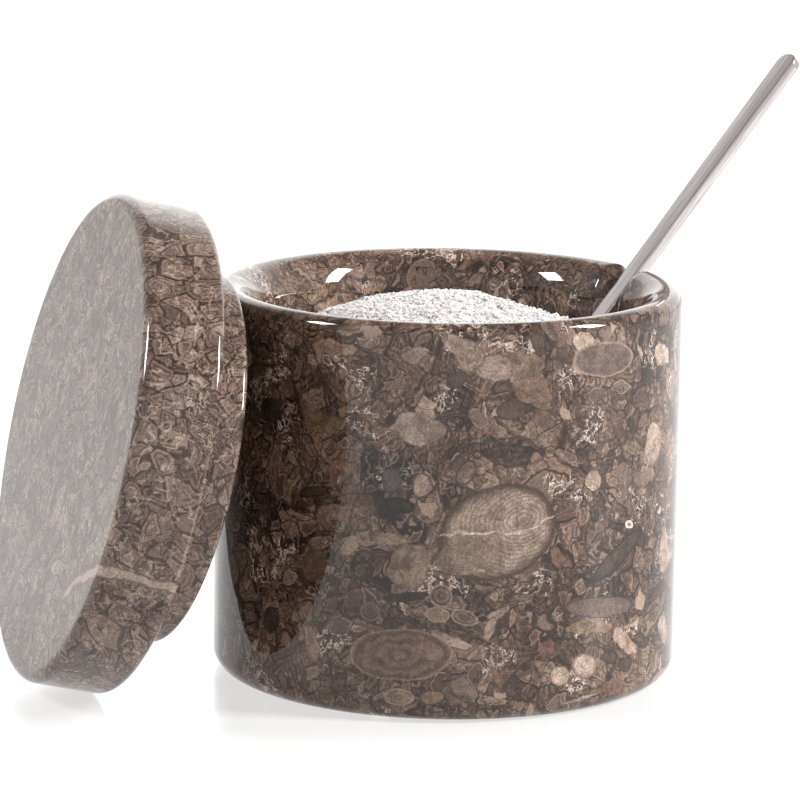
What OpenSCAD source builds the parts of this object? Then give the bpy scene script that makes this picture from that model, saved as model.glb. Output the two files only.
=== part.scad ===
// Stone salt cellar: a turned pot with a spoon slot in its rim, its lid leaning against
// it, a heap of salt in it and a small steel spoon standing in the salt.
// Millimetres. The origin is the centre of the pot's base, +Z is up and -Y is the front.

/* [Pot] */
// Outer radius of the pot
pot_r = 50; // [48:0.5:58]
// Height of the pot
pot_h = 84; // [76:0.5:88]
// Thickness of the pot's wall
wall_t = 9.2; // [8:0.1:12]
// Thickness of the pot's floor
floor_t = 10; // [6:0.5:16]
// Rounding of the rim's outer edge
rim_edge_r = 2.6; // [1.5:0.1:3.5]
// Rounding of the base's outer edge
foot_edge_r = 4.5; // [2:0.1:6]
// Rounding at the bottom of the cavity
cavity_corner_r = 8; // [4:0.5:12]
// Upper, tighter rounding of the lip that leads into the cavity
lip_top_r = 5; // [3:0.1:5.5]
// How far the lip has turned down where its lower, wider rounding begins
lip_turn = 50; // [40:1:60]

/* [Spoon slot] */
// Direction of the slot around the pot, counted from +X towards +Y
slot_az = 31.7; // [20:0.1:60]
// Width of the slot
slot_w = 7.2; // [6.8:0.1:9]
// Depth of the slot below the rim
slot_d = 7.3; // [5:0.1:9]
// Radius of the slot's hollow bottom
slot_bottom_r = 10; // [8:0.5:16]
// Rounding of the slot's two upper edges
slot_shoulder_r = 2.8; // [1:0.1:4]
// Rounding of the slot's bottom towards the outside
slot_out_r = 4.2; // [4:0.1:8]

/* [Lid] */
// How far the lid reaches out past the pot's wall
lid_over = 2.4; // [1:0.1:4]
// Thickness of the lid's disc
lid_t = 17.2; // [14:0.2:20]
// Height of the plug under the disc
plug_h = 9.2; // [7:0.2:11]
// Gap all round between the plug and the cavity wall when the lid is on
plug_gap = 1; // [0.6:0.1:2]
// Rounding of the disc's upper edge
lid_top_edge_r = 2.3; // [1:0.1:4]
// Rounding of the disc's lower edge
lid_low_edge_r = 1.9; // [1:0.1:4]
// Rounding of the plug's end edge
plug_edge_r = 1.2; // [0.6:0.1:2]
// Direction in which the lid leans off the pot, counted from +X towards +Y
lid_az = 196.7; // [150:0.1:240]
// How far the leaning lid tilts away from standing upright
lid_lean = 12.97; // [12:0.01:16]

/* [Spoon] */
// Rise of the handle from the level
spoon_rise = 47.8; // [44:0.1:52]
// Length of handle from the slot to its round end
handle_out = 70.3; // [50:0.5:90]
// Length of handle from the slot to the bowl's centre
handle_in = 20.5; // [18:0.5:32]
// Width of the handle at its round end
handle_end_w = 6; // [5:0.1:7]
// Width of the handle at the bowl
handle_neck_w = 4.4; // [3:0.1:5]
// Thickness of the handle
handle_t = 2.5; // [1.5:0.1:3]
// Radius of the bowl
bowl_r = 9; // [7:0.1:10]
// Depth of the bowl, its own thickness included
bowl_depth = 4.5; // [3:0.1:6]
// Thickness of the bowl
bowl_t = 1.2; // [0.8:0.1:1.6]

/* [Salt] */
// How far the top of the heap lies below the rim
salt_below = 2.2; // [1:0.1:10]
// Radius of the heap's dome
salt_dome_r = 77; // [70:1:100]
// Clearance between the salt and the pot's wall
salt_gap = 0.3; // [0.2:0.1:0.6]
// Clearance between the salt and the spoon
pocket_gap = 0.6; // [0.3:0.1:1]

/* [Clearances] */
// Gap left where the lid or the spoon rests on the pot
rest_gap = 0.3; // [0.2:0.05:0.3]

/* [Hidden] */
$fn = 96;
// Overrun of every cut
over = 1;

// The pot's cavity and its lip
bore_r = pot_r - wall_t;
lip_r = pot_r - rim_edge_r;
lip_low_r = (lip_r - bore_r - lip_top_r * sin(lip_turn)) / (1 - sin(lip_turn));
lip_top_z = pot_h - lip_top_r;
lip_low_z = pot_h - lip_top_r * (1 - cos(lip_turn)) - lip_low_r * cos(lip_turn);
split_r = lip_r - lip_top_r * sin(lip_turn);
split_z = lip_top_z + lip_top_r * cos(lip_turn);

// The slot, whose crest follows the rim's own roundings, lowered by its depth
slot_half_w = slot_w / 2;
slot_axis_z = pot_h - slot_d + slot_bottom_r;

// The lid stands on its lower edge. Its plug's end leans on the rim, or its plug's edge leans on
// the wall where the rim is higher than the plug reaches
lid_r = pot_r + lid_over;
plug_r = bore_r - plug_gap;
lid_z = lid_low_edge_r * (1 - sin(lid_lean)) + (lid_r - lid_low_edge_r) * cos(lid_lean);
lid_reach = lip_r * cos(lid_lean) + (pot_h - rim_edge_r) * sin(lid_lean) + plug_h + rim_edge_r + rest_gap;
lid_rim_out = (lid_reach - lid_z * sin(lid_lean)) / cos(lid_lean);
lid_wall_out = pot_r + rest_gap + plug_edge_r + (plug_h - plug_edge_r) * cos(lid_lean)
    + (plug_r - plug_edge_r) * sin(lid_lean);
lid_out = min(lid_rim_out, lid_wall_out);

// The handle's two lower edges lie on the slot's inner rounding, where its bottom is hollow
handle_end_x = handle_out - handle_end_w / 2;
handle_rest_w = handle_neck_w + (handle_end_w - handle_neck_w) * handle_in / (handle_in + handle_end_x);
rest_hollow_r = slot_bottom_r + lip_top_r * (1 - cos(spoon_rise));
rest_lift = rest_hollow_r - sqrt(rest_hollow_r * rest_hollow_r - handle_rest_w * handle_rest_w / 4);
rest_r = lip_top_r + rest_gap + handle_t / 2;
spoon_out = lip_r - rest_r * sin(spoon_rise);
spoon_z = lip_top_z - slot_d + rest_r * cos(spoon_rise) + rest_lift;
bowl_curve_r = (bowl_r * bowl_r + bowl_depth * bowl_depth) / (2 * bowl_depth);
spoon_drop = bowl_depth - handle_t / 2;

// The salt
salt_r = bore_r - salt_gap;
salt_top_z = pot_h - salt_below;
salt_corner_r = cavity_corner_r - salt_gap;

// A half section from the axis outwards, with both outer corners rounded
module rounded_half(r, h, low_edge_r, top_edge_r) {
    difference() {
        square([r, h]);
        translate([r - low_edge_r, low_edge_r]) mirror([0, 1]) corner_waste(low_edge_r);
        translate([r - top_edge_r, h - top_edge_r]) corner_waste(top_edge_r);
    }
}

// What a quarter round of this radius takes off a square corner
module corner_waste(edge_r) {
    difference() {
        square(edge_r + over);
        circle(edge_r);
    }
}

// The pot's wall and floor, cut through the axis
module pot_half() {
    difference() {
        rounded_half(pot_r, pot_h, foot_edge_r, rim_edge_r);
        translate([0, floor_t]) rounded_half(bore_r, pot_h, cavity_corner_r, cavity_corner_r);
        lip_waste();
    }
}

// What the two tangent roundings of the lip take off the wall
module lip_waste() {
    difference() {
        translate([bore_r - over, lip_low_z]) square([lip_r - bore_r + over, pot_h + over - lip_low_z]);
        intersection() {
            translate([bore_r + lip_low_r, lip_low_z]) circle(lip_low_r);
            translate([bore_r, lip_low_z]) square([split_r - bore_r, lip_low_r]);
        }
        intersection() {
            translate([lip_r, lip_top_z]) circle(lip_top_r);
            translate([split_r, lip_top_z]) square([lip_r - split_r + over, lip_top_r]);
        }
        translate([split_r, lip_low_z]) square([lip_r - split_r + over, lip_top_z - lip_low_z]);
    }
}

// The stone left under the slot's crest, drawn as if the slot had no depth: rounded towards
// the outside, rounded like the lip on the inside and then sloping down into the cavity
module slot_sill() {
    sill_in_r = bore_r - over;
    intersection() {
        translate([lip_r, lip_top_z]) circle(lip_top_r);
        translate([split_r, lip_top_z]) square([lip_r - split_r, lip_top_r]);
    }
    intersection() {
        translate([lip_r, pot_h - slot_out_r]) circle(slot_out_r);
        translate([lip_r, pot_h - slot_out_r]) square([pot_r + over - lip_r, slot_out_r]);
    }
    polygon([
        [sill_in_r, 0], [pot_r + over, 0], [pot_r + over, pot_h - slot_out_r], [lip_r, pot_h - slot_out_r],
        [lip_r, lip_top_z], [split_r, lip_top_z], [split_r, split_z],
        [sill_in_r, split_z - (split_r - sill_in_r) * tan(lip_turn)]
    ]);
}

// The air over that stone, turned so that it runs round the slot's own axis
module slot_half() {
    intersection() {
        square([pot_h + slot_bottom_r, pot_r + 2 * over]);
        translate([pot_h + slot_bottom_r, 0]) rotate(90) difference() {
            translate([bore_r - over, lip_low_z]) square([wall_t + 2 * over, pot_h + slot_bottom_r]);
            slot_sill();
        }
    }
}

// One rounded shoulder beside the slot
module slot_shoulder() {
    translate([bore_r - over, slot_half_w + slot_shoulder_r, pot_h - slot_shoulder_r])
        rotate([90, 0, 90]) linear_extrude(wall_t + 2 * over) mirror([1, 0]) corner_waste(slot_shoulder_r);
}

// Everything that the slot takes out of the rim
module slot() {
    rotate(slot_az) {
        intersection() {
            translate([0, 0, slot_axis_z]) rotate([0, 90, 0]) rotate_extrude() slot_half();
            translate([0, -slot_half_w, 0]) cube([2 * pot_r, slot_w, pot_h + slot_d]);
        }
        slot_shoulder();
        mirror([0, 1]) slot_shoulder();
    }
}

// Turned stone pot with a thick wall and a slot for the spoon's handle
module pot() {
    color("#6b5a50") difference() {
        rotate_extrude() pot_half();
        slot();
    }
}

// Turned stone lid: a thick disc with a plug under it, leaning against the pot
module lid() {
    color("#7d6c61")
        rotate(lid_az) translate([lid_out, 0, lid_z]) rotate([0, 90 - lid_lean, 0]) rotate_extrude() {
            rounded_half(lid_r, lid_t, lid_low_edge_r, lid_top_edge_r);
            translate([0, -plug_h]) difference() {
                square([plug_r, plug_h + over]);
                translate([plug_r - plug_edge_r, plug_edge_r]) mirror([0, 1]) corner_waste(plug_edge_r);
            }
        }
}

// Puts a shape drawn along the handle, with +X towards its round end, where the spoon lies
module along_spoon() {
    rotate(slot_az) translate([spoon_out, 0, spoon_z]) rotate([0, -spoon_rise, 0]) children();
}

// The handle's outline, widening from the bowl to its round end
module handle_plan() {
    polygon([
        [-handle_in, -handle_neck_w / 2], [handle_end_x, -handle_end_w / 2],
        [handle_end_x, handle_end_w / 2], [-handle_in, handle_neck_w / 2]
    ]);
    translate([handle_end_x, 0]) circle(handle_end_w / 2);
}

// Steel spoon: a flat bar handle that ends in a round, shallow bowl
module spoon() {
    bowl_z = handle_t / 2 - bowl_depth + bowl_curve_r;
    color("#c9c6c4") along_spoon() difference() {
        union() {
            translate([0, 0, -handle_t / 2]) linear_extrude(handle_t) handle_plan();
            intersection() {
                translate([-handle_in, 0, bowl_z]) sphere(bowl_curve_r);
                translate([-handle_in - bowl_r, -bowl_r, handle_t / 2 - bowl_depth])
                    cube([2 * bowl_r, 2 * bowl_r, bowl_depth]);
            }
        }
        translate([-handle_in, 0, bowl_z]) sphere(bowl_curve_r - bowl_t);
    }
}

// The spoon's way in and out of the salt: its plan, swept straight up from under it
module spoon_pocket() {
    reach = handle_in + bowl_r + pocket_gap;
    plan_r = bowl_r + pocket_gap;
    intersection() {
        rotate(slot_az) translate([0, 0, floor_t]) linear_extrude(pot_h) {
            translate([spoon_out - handle_in * cos(spoon_rise), 0]) circle(plan_r);
            translate([spoon_out - handle_in * cos(spoon_rise), -handle_end_w / 2])
                square([pot_r, handle_end_w]);
        }
        along_spoon() translate([-reach, -pot_r, -spoon_drop - handle_t / 2 - pocket_gap])
            cube([2 * reach, 2 * pot_r, 2 * pot_h]);
    }
}

// Heap of salt, with the room that the spoon takes up in it
module salt() {
    color("#e4dfdd") difference() {
        rotate_extrude() intersection() {
            translate([0, floor_t]) rounded_half(salt_r, pot_h, salt_corner_r, salt_corner_r);
            translate([0, salt_top_z - salt_dome_r]) circle(salt_dome_r);
            square([pot_r, pot_h]);
        }
        spoon_pocket();
    }
}

pot();
salt();
lid();
spoon();
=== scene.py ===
# %% [markdown]
# # A salt cellar of fossil stone
# The object has four pieces: a turned pot, a turned lid that leans against it, a small steel
# spoon and the salt. The solids come from the construction model, which sets every size and
# place. This script dresses them: it turns the stone pieces again with far smoother surfaces,
# because polished stone mirrors the room and shows every facet, and it gives each finish its
# own procedural material.

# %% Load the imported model
import math

import bmesh
import bpy
from mathutils import Euler, Matrix, Vector


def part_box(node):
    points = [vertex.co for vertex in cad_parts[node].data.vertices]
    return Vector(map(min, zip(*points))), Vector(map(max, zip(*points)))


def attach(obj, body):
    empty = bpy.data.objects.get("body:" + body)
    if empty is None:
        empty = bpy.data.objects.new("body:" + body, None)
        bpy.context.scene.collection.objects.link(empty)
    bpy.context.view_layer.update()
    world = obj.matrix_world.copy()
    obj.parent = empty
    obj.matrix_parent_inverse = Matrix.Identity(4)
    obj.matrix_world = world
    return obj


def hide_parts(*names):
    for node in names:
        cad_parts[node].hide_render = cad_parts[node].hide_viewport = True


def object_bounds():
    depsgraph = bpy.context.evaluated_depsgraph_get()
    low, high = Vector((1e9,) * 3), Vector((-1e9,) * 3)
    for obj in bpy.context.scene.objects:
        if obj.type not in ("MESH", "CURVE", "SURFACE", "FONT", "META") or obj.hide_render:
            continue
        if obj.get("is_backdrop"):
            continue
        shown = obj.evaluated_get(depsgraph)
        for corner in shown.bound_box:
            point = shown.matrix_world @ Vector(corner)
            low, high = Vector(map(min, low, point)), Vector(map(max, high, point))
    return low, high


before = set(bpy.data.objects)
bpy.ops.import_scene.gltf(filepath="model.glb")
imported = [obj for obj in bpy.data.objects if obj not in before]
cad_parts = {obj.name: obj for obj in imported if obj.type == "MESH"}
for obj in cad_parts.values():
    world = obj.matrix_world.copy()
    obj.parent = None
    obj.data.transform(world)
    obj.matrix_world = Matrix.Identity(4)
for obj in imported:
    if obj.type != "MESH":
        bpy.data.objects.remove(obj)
cad_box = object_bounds()
MM = 0.001
print("construction box, mm:", [[round(v / MM, 1) for v in corner] for corner in cad_box])

# %% [markdown]
# ## Camera
# The photograph was taken with a long lens from a little above the rim. The lens and the
# place were fitted to the ellipses of the rim and the base.

# %% Set up the camera
PITCH = math.radians(11.278)
ROLL = math.radians(0.845)
CAMERA_DISTANCE = 0.9698
LENS = 202.5
SENSOR_WIDTH = 36
FARTHEST_SEEN = 50
LOOK_AT = Vector((-0.01014, 0, 0.05843))
forward = Vector((0, math.cos(PITCH), -math.sin(PITCH)))
side = Vector((1, 0, 0))
above = side.cross(forward)
right = math.cos(ROLL) * side + math.sin(ROLL) * above
up = -math.sin(ROLL) * side + math.cos(ROLL) * above
camera_turn = Matrix((right, up, -forward)).transposed().to_4x4()
bpy.ops.object.camera_add()
camera = bpy.context.object
camera.name = "camera"
camera.matrix_world = Matrix.Translation(LOOK_AT - forward * CAMERA_DISTANCE) @ camera_turn
camera.data.sensor_width = SENSOR_WIDTH
camera.data.lens = LENS
camera.data.clip_end = FARTHEST_SEEN
bpy.context.scene.camera = camera
print("camera:", LENS, "mm lens at", [round(v, 3) for v in camera.matrix_world.translation])

# %% [markdown]
# ## Turning an outline
# A lathe makes the real pot and lid, and the same idea makes them here: an outline is drawn
# point by point with extrude, and spin sweeps it round the axis. The straight runs get extra
# points, close to the roundings, so that smooth shading stays inside each rounding and the
# flat faces stay flat in their reflections.

# %% Helpers for outlines and turning
ARC_STEP = math.radians(6)
NEAR_EDGE = 0.4 * MM
SAME_POINT = 0.001 * MM


def arc(centre_r, centre_z, radius, start, stop):
    """Points of an arc in the (radius, height) plane, from one angle to another in degrees."""
    start, stop = math.radians(start), math.radians(stop)
    count = max(2, math.ceil(abs(stop - start) / ARC_STEP))
    angles = [start + (stop - start) * i / count for i in range(count + 1)]
    return [(centre_r + radius * math.cos(a), centre_z + radius * math.sin(a)) for a in angles]


def filled(points, spacing):
    """The outline with extra points on its straight runs, close to both ends and between."""
    out = [points[0]]
    for a, b in zip(points, points[1:]):
        length = math.dist(a, b)
        if length > 4 * NEAR_EDGE:
            inner = length - 2 * NEAR_EDGE
            count = max(1, math.ceil(inner / spacing))
            shares = [(NEAR_EDGE + inner * i / count) / length for i in range(count + 1)]
            out += [(a[0] + (b[0] - a[0]) * s, a[1] + (b[1] - a[1]) * s) for s in shares]
        out.append(b)
    return out


def only(obj):
    """Makes this object the only selected one, and the active one."""
    bpy.ops.object.select_all(action="DESELECT")
    obj.select_set(True)
    bpy.context.view_layer.objects.active = obj


def in_order(mesh):
    """Puts the faces in the order of their points, because spin leaves them in another each run."""
    points = [v.co.copy() for v in mesh.vertices]
    faces = []
    for face in mesh.polygons:
        corners = list(face.vertices)
        first = corners.index(min(corners))
        faces.append(corners[first:] + corners[:first])
    mesh.clear_geometry()
    mesh.from_pydata(points, [], sorted(faces))


def turned(name, outline, sweeps, start=0.0):
    """Draws the outline at an azimuth and spins it round Z in sweeps of (angle, steps)."""
    bpy.ops.object.select_all(action="DESELECT")
    bpy.ops.mesh.primitive_plane_add(size=MM)
    obj = bpy.context.object
    obj.name = name
    bpy.ops.object.mode_set(mode="EDIT")
    bpy.ops.mesh.select_mode(type="VERT")
    bpy.ops.mesh.select_all(action="SELECT")
    bpy.ops.mesh.merge(type="CENTER")
    places = [Vector((r * math.cos(start), r * math.sin(start), z)) for r, z in outline]
    bpy.ops.transform.translate(value=places[0])
    for a, b in zip(places, places[1:]):
        bpy.ops.mesh.extrude_vertices_move(TRANSFORM_OT_translate={"value": b - a})
    bpy.ops.mesh.select_all(action="SELECT")
    for angle, steps in sweeps:
        bpy.ops.mesh.spin(steps=steps, angle=angle, center=(0, 0, 0), axis=(0, 0, 1))
    bpy.ops.mesh.select_all(action="SELECT")
    bpy.ops.mesh.remove_doubles(threshold=SAME_POINT)
    bpy.ops.mesh.normals_make_consistent(inside=False)
    bpy.ops.object.mode_set(mode="OBJECT")
    in_order(obj.data)
    only(obj)
    bpy.ops.object.shade_smooth()
    print(name, "turned:", len(obj.data.vertices), "points")
    return obj


# %% [markdown]
# ## The pot
# The pot has a wall of almost a centimetre and a broad, rounded lip that leads into the
# cavity. The lip is two tangent arcs, tight at the top and wide below. The construction model
# gives the pot's outer sizes, so that the dressed pot follows it. What it can't give, such as
# a rounding, is named here in millimetres. The turn starts at the side where the slot for the
# spoon will be, with fine steps there.

# %% Turn the pot
pot_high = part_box("pot")[1]
POT_R = pot_high.x
POT_H = pot_high.z
WALL = 9.2 * MM
FLOOR = 10 * MM
BORE_R = POT_R - WALL
RIM_EDGE_R = 2.6 * MM
FOOT_EDGE_R = 4.5 * MM
CAVITY_CORNER_R = 8 * MM
LIP_TOP_R = 5 * MM
LIP_TURN = math.radians(50)
SLOT_AZ = math.radians(31.7)
SLOT_SECTOR = math.radians(24)
SLOT_STEPS = 120
REST_STEPS = 224

lip_r = POT_R - RIM_EDGE_R
lip_low_r = (lip_r - BORE_R - LIP_TOP_R * math.sin(LIP_TURN)) / (1 - math.sin(LIP_TURN))
lip_low_z = POT_H - LIP_TOP_R * (1 - math.cos(LIP_TURN)) - lip_low_r * math.cos(LIP_TURN)
lip_meet = 90 + math.degrees(LIP_TURN)
corner_r, corner_z = BORE_R - CAVITY_CORNER_R, FLOOR + CAVITY_CORNER_R
pot_outline = [(0, 0)]
pot_outline += arc(POT_R - FOOT_EDGE_R, FOOT_EDGE_R, FOOT_EDGE_R, -90, 0)
pot_outline += arc(lip_r, POT_H - RIM_EDGE_R, RIM_EDGE_R, 0, 90)
pot_outline += arc(lip_r, POT_H - LIP_TOP_R, LIP_TOP_R, 90, lip_meet)[1:]
pot_outline += arc(BORE_R + lip_low_r, lip_low_z, lip_low_r, lip_meet, 180)[1:]
pot_outline += arc(corner_r, corner_z, CAVITY_CORNER_R, 0, -90)
pot_outline += [(0, FLOOR)]
pot = turned(
    "stone_pot", filled(pot_outline, 3 * MM),
    [(SLOT_SECTOR, SLOT_STEPS), (2 * math.pi - SLOT_SECTOR, REST_STEPS)],
    start=SLOT_AZ - SLOT_SECTOR / 2,
)

# %% [markdown]
# The slot for the spoon is cut and then polished until no edge is left, so the rim looks as
# if it dipped there. A boolean cut would leave edges and poor faces on a mirror-like surface.
# Instead the rings of the rim are lowered by a soft step, by a Displace modifier whose
# strength at each point comes from a vertex group.

# %% Lower the rim for the slot
SLOT_DEPTH = 7.3 * MM
SLOT_HALF_W = 3.9 * MM
SLOT_SOFTNESS = 0.28 * MM
SLOT_BOTTOM_R = 10 * MM
SLOT_FADE_TOP = POT_H - 12 * MM
SLOT_FADE_LOW = POT_H - 34 * MM
EXP_LIMIT = 60


def moved_by(obj, name, strength, weight_of):
    """Moves points along Z by a Displace modifier, weighted by a function of each point."""
    group = obj.vertex_groups.new(name=name)
    for v in obj.data.vertices:
        weight = weight_of(v.co)
        if weight > 0:
            group.add([v.index], min(weight, 1), "REPLACE")
    only(obj)
    modifier = obj.modifiers.new(name, "DISPLACE")
    modifier.direction = "Z"
    modifier.mid_level = 0
    modifier.strength = strength
    modifier.vertex_group = name
    bpy.ops.object.modifier_apply(modifier=name)
    obj.vertex_groups.remove(obj.vertex_groups[name])
    print(name, "made in", obj.name)


def from_slot(co):
    """A point's way out along the slot's line, and its distance to the side of that line."""
    along = co.x * math.cos(SLOT_AZ) + co.y * math.sin(SLOT_AZ)
    across = abs(co.y * math.cos(SLOT_AZ) - co.x * math.sin(SLOT_AZ))
    return along, across


def slot_share(co):
    """How far a point of the pot goes down, as a share of the slot's depth."""
    along, across = from_slot(co)
    if along < BORE_R / 2 or co.z < SLOT_FADE_LOW:
        return 0
    fade = min(1, (co.z - SLOT_FADE_LOW) / (SLOT_FADE_TOP - SLOT_FADE_LOW))
    hollow = min(across, SLOT_HALF_W) ** 2 / (2 * SLOT_BOTTOM_R) / SLOT_DEPTH
    step = 1 / (1 + math.exp(min(EXP_LIMIT, (across - SLOT_HALF_W) / SLOT_SOFTNESS)))
    return (1 - hollow) * step * fade


moved_by(pot, "slot", -SLOT_DEPTH, slot_share)

# %% [markdown]
# ## The lid
# The lid is a thick disc with a plug under it. It stands on its lower edge, and its plug
# leans on the pot's rim with a hair's gap. The lean was measured on the object, and the
# lid's distance from the pot follows from it, as in the solids.

# %% Turn the lid and lean it against the pot
LID_R = POT_R + 2.4 * MM
LID_T = 17.2 * MM
LID_STEPS = 288
PLUG_R = BORE_R - 1 * MM
PLUG_H = 9.2 * MM
LID_TOP_EDGE_R = 2.3 * MM
LID_LOW_EDGE_R = 1.9 * MM
PLUG_EDGE_R = 1.2 * MM
LID_AZ = math.radians(196.7)
LID_LEAN = math.radians(12.97)
REST_GAP = 0.3 * MM

lid_outline = [(0, -PLUG_H)]
lid_outline += arc(PLUG_R - PLUG_EDGE_R, PLUG_EDGE_R - PLUG_H, PLUG_EDGE_R, -90, 0)
lid_outline += [(PLUG_R, 0)]
lid_outline += arc(LID_R - LID_LOW_EDGE_R, LID_LOW_EDGE_R, LID_LOW_EDGE_R, -90, 0)
lid_outline += arc(LID_R - LID_TOP_EDGE_R, LID_T - LID_TOP_EDGE_R, LID_TOP_EDGE_R, 0, 90)
lid_outline += [(0, LID_T)]
lid = turned("stone_lid", filled(lid_outline, 4 * MM), [(2 * math.pi, LID_STEPS)])

lean_sin, lean_cos = math.sin(LID_LEAN), math.cos(LID_LEAN)
lid_z = LID_LOW_EDGE_R * (1 - lean_sin) + (LID_R - LID_LOW_EDGE_R) * lean_cos
rim_reach = lip_r * lean_cos + (POT_H - RIM_EDGE_R) * lean_sin + RIM_EDGE_R
lid_out = (rim_reach + REST_GAP + PLUG_H - lid_z * lean_sin) / lean_cos
lid.rotation_euler = Euler((0, math.pi / 2 - LID_LEAN, LID_AZ))
lid.location = (lid_out * math.cos(LID_AZ), lid_out * math.sin(LID_AZ), lid_z)
only(lid)
bpy.ops.object.transform_apply(location=True, rotation=True, scale=True)
print("lid stands", round(lid_out / MM, 2), "mm out from the pot's axis")

# %% [markdown]
# ## The spoon
# A small steel spoon: a flat bar that widens a little towards its round end, with soft
# edges, and a shallow round bowl. The bar starts as a cube with its outer end scaled wider.
# That end is rounded by a bevel of its two upright edges, and a Bevel modifier softens what
# is left.

# %% Model the handle
SPOON_RISE = math.radians(47.8)
HANDLE_OUT = 70.3 * MM
HANDLE_IN = 20.5 * MM
HANDLE_END_W = 6 * MM
HANDLE_NECK_W = 4.4 * MM
HANDLE_T = 2.5 * MM
END_ROUNDING = HANDLE_END_W * 0.47
END_STEPS = 14
SOFT_EDGE = 0.55 * MM
SOFT_STEPS = 5
SHARP = math.radians(40)


def select_edges(obj, wanted):
    """Selects the edges whose two ends pass a test, in edit mode."""
    bpy.ops.mesh.select_all(action="DESELECT")
    mesh = bmesh.from_edit_mesh(obj.data)
    for edge in mesh.edges:
        edge.select = wanted(*[v.co for v in edge.verts])
    bmesh.update_edit_mesh(obj.data)


def at_outer_end(a, b):
    """Both ends lie at the handle's outer end."""
    return min(a.x, b.x) > 0


def upright_at_outer_end(a, b):
    """An edge of the outer end that goes through the handle's thickness."""
    return at_outer_end(a, b) and abs(a.z - b.z) > HANDLE_T / 2


bpy.ops.object.select_all(action="DESELECT")
bpy.ops.mesh.primitive_cube_add(size=1, location=((HANDLE_OUT - HANDLE_IN) / 2, 0, 0))
spoon = bpy.context.object
spoon.name = "steel_spoon"
spoon.scale = (HANDLE_OUT + HANDLE_IN, HANDLE_NECK_W, HANDLE_T)
bpy.ops.object.transform_apply(location=True, rotation=True, scale=True)
bpy.ops.object.mode_set(mode="EDIT")
bpy.ops.mesh.select_mode(type="EDGE")
select_edges(spoon, at_outer_end)
widen = (1, HANDLE_END_W / HANDLE_NECK_W, 1)
bpy.ops.transform.resize(value=widen, center_override=(HANDLE_OUT, 0, 0))
select_edges(spoon, upright_at_outer_end)
bpy.ops.mesh.bevel(
    offset=END_ROUNDING, segments=END_STEPS, affect="EDGES", clamp_overlap=False,
)
bpy.ops.mesh.select_all(action="SELECT")
bpy.ops.mesh.remove_doubles(threshold=0.01 * MM)
bpy.ops.object.mode_set(mode="OBJECT")
soften = spoon.modifiers.new("soft edges", "BEVEL")
soften.width = SOFT_EDGE
soften.segments = SOFT_STEPS
soften.limit_method = "ANGLE"
soften.angle_limit = SHARP
only(spoon)
bpy.ops.object.modifier_apply(modifier="soft edges")
print("handle:", len(spoon.data.polygons), "faces")

# %% [markdown]
# The bowl lies in the salt and isn't seen, so it is a plain round one: the cap of a sphere,
# cut off by bisect, to which Solidify gives its thickness. A boolean union melts it to the
# handle, so that the spoon is one closed piece.

# %% Model the bowl and join it to the handle
BOWL_R = 9 * MM
BOWL_DEPTH = 4.5 * MM
BOWL_T = 1.2 * MM
BOWL_CURVE_R = (BOWL_R**2 + BOWL_DEPTH**2) / (2 * BOWL_DEPTH)
SMOOTH_BELOW = math.radians(35)
bowl_rim_z = HANDLE_T / 2
bpy.ops.object.select_all(action="DESELECT")
bpy.ops.mesh.primitive_uv_sphere_add(
    segments=64, ring_count=96, radius=BOWL_CURVE_R,
    location=(-HANDLE_IN, 0, bowl_rim_z - BOWL_DEPTH + BOWL_CURVE_R),
)
bowl = bpy.context.object
bpy.ops.object.transform_apply(location=True, rotation=True, scale=True)
bpy.ops.object.mode_set(mode="EDIT")
bpy.ops.mesh.select_all(action="SELECT")
bpy.ops.mesh.bisect(plane_co=(0, 0, bowl_rim_z), plane_no=(0, 0, 1), clear_outer=True)
bpy.ops.object.mode_set(mode="OBJECT")
thicken = bowl.modifiers.new("thickness", "SOLIDIFY")
thicken.thickness = BOWL_T
thicken.offset = -1
only(bowl)
bpy.ops.object.modifier_apply(modifier="thickness")
melt = spoon.modifiers.new("melt", "BOOLEAN")
melt.operation = "UNION"
melt.solver = "EXACT"
melt.object = bowl
only(spoon)
bpy.ops.object.modifier_apply(modifier="melt")
bpy.data.objects.remove(bowl)
only(spoon)
bpy.ops.object.shade_smooth_by_angle(angle=SMOOTH_BELOW)
print("spoon:", len(spoon.data.polygons), "faces")

# %% [markdown]
# The handle's two lower edges lie on the slot's inner rounding, whose bottom is slightly
# hollow, so the spoon's place is worked out from the rim and the slot, as in the solids.

# %% Lay the spoon in the slot
handle_end_x = HANDLE_OUT - HANDLE_END_W / 2
widening = (HANDLE_END_W - HANDLE_NECK_W) / (HANDLE_IN + handle_end_x)
rest_w = HANDLE_NECK_W + widening * HANDLE_IN
rest_hollow_r = SLOT_BOTTOM_R + LIP_TOP_R * (1 - math.cos(SPOON_RISE))
rest_lift = rest_hollow_r - math.sqrt(rest_hollow_r**2 - rest_w**2 / 4)
rest_r = LIP_TOP_R + REST_GAP + HANDLE_T / 2
spoon_out = lip_r - rest_r * math.sin(SPOON_RISE)
spoon_z = POT_H - LIP_TOP_R - SLOT_DEPTH + rest_r * math.cos(SPOON_RISE) + rest_lift
spoon.rotation_euler = Euler((0, -SPOON_RISE, SLOT_AZ))
spoon.location = (spoon_out * math.cos(SLOT_AZ), spoon_out * math.sin(SLOT_AZ), spoon_z)
only(spoon)
bpy.ops.object.transform_apply(location=True, rotation=True, scale=True)
print("spoon crosses the rim", round(spoon_z / MM, 2), "mm above the table")

# %% [markdown]
# ## The salt
# The heap starts as a turned dome. It is lowered round the spoon, as salt is where a spoon
# has just been pushed in: a pit with steep sides follows the bowl and the handle, as in the
# solid.

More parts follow.
